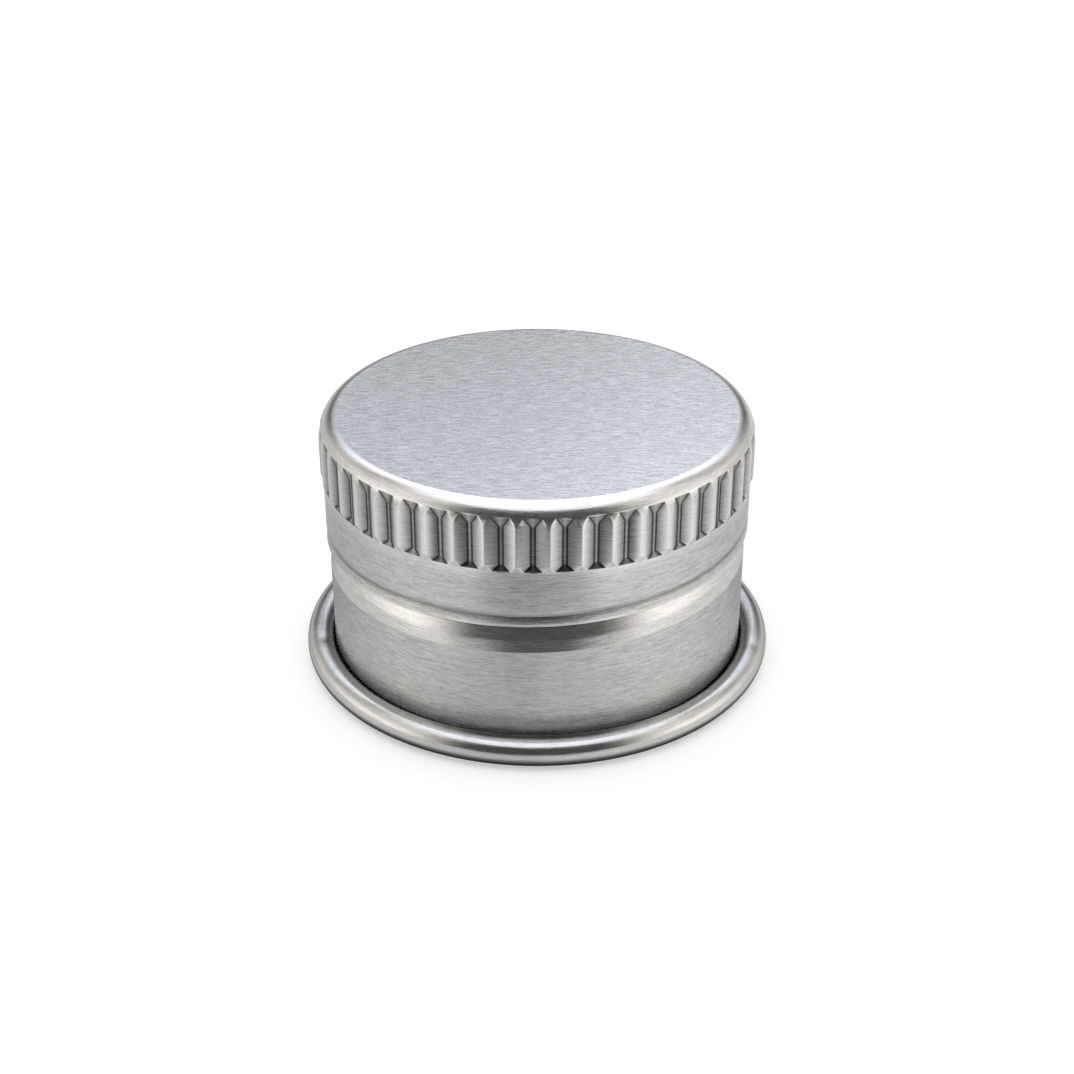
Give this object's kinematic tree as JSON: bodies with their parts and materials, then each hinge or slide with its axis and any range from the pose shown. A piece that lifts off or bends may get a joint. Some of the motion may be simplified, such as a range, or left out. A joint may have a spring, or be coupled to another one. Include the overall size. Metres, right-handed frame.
{
  "type": "knurled screw cap for a bottle",
  "caption": "Low aluminium screw cap with a flat brushed top, a fluted knurl, a rolled thread groove, a curled rim and a sealing liner inside.",
  "frame": {"origin": "on the cap's axis, in the plane on which the curled rim stands", "axes": "+Z along the axis from the open mouth to the closed top; -Y is the front, where the thread is at the middle of its height; the thread rises towards +X"},
  "size_m": [0.0322, 0.0322, 0.018],
  "materials": {
    "brushed_aluminium": "fine satin brushing, in one direction over the top disc and round the skirt, with polished ridges",
    "liner_foam": "white closed-cell foam with a faint grain"
  },
  "bodies": {
    "root": {"shell": "brushed_aluminium", "liner": "liner_foam"}
  },
  "joints": []
}
